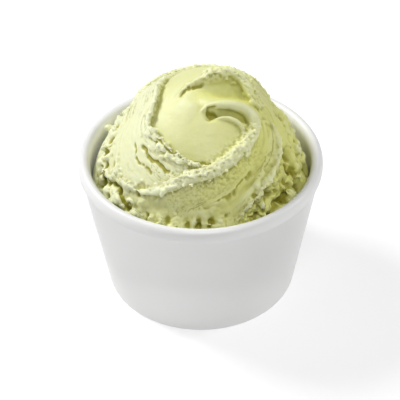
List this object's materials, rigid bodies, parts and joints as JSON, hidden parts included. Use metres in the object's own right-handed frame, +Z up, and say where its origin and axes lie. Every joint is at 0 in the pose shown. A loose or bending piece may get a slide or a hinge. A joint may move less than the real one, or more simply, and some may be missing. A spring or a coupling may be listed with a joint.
{
  "type": "gelato cup",
  "caption": "White porcelain cup with a rounded lip and tapered wall, filled with a tall mound of pistachio gelato spread in spiral laps, with a hooked curl on top.",
  "frame": {"origin": "on the cup's axis, at the plane that its foot ring stands on", "axes": "+Z up along the cup's axis; +Y towards the back of the mound, away from the side that the hooked curl opens to; +X to the right seen from that side"},
  "size_m": [0.09, 0.09, 0.091],
  "materials": {
    "porcelain": "satin white glaze",
    "gelato": "soft matt churned gelato, smooth where the spatula passed and torn at the edges"
  },
  "bodies": {
    "root": {"cup": "porcelain", "gelato": "gelato"}
  },
  "joints": []
}
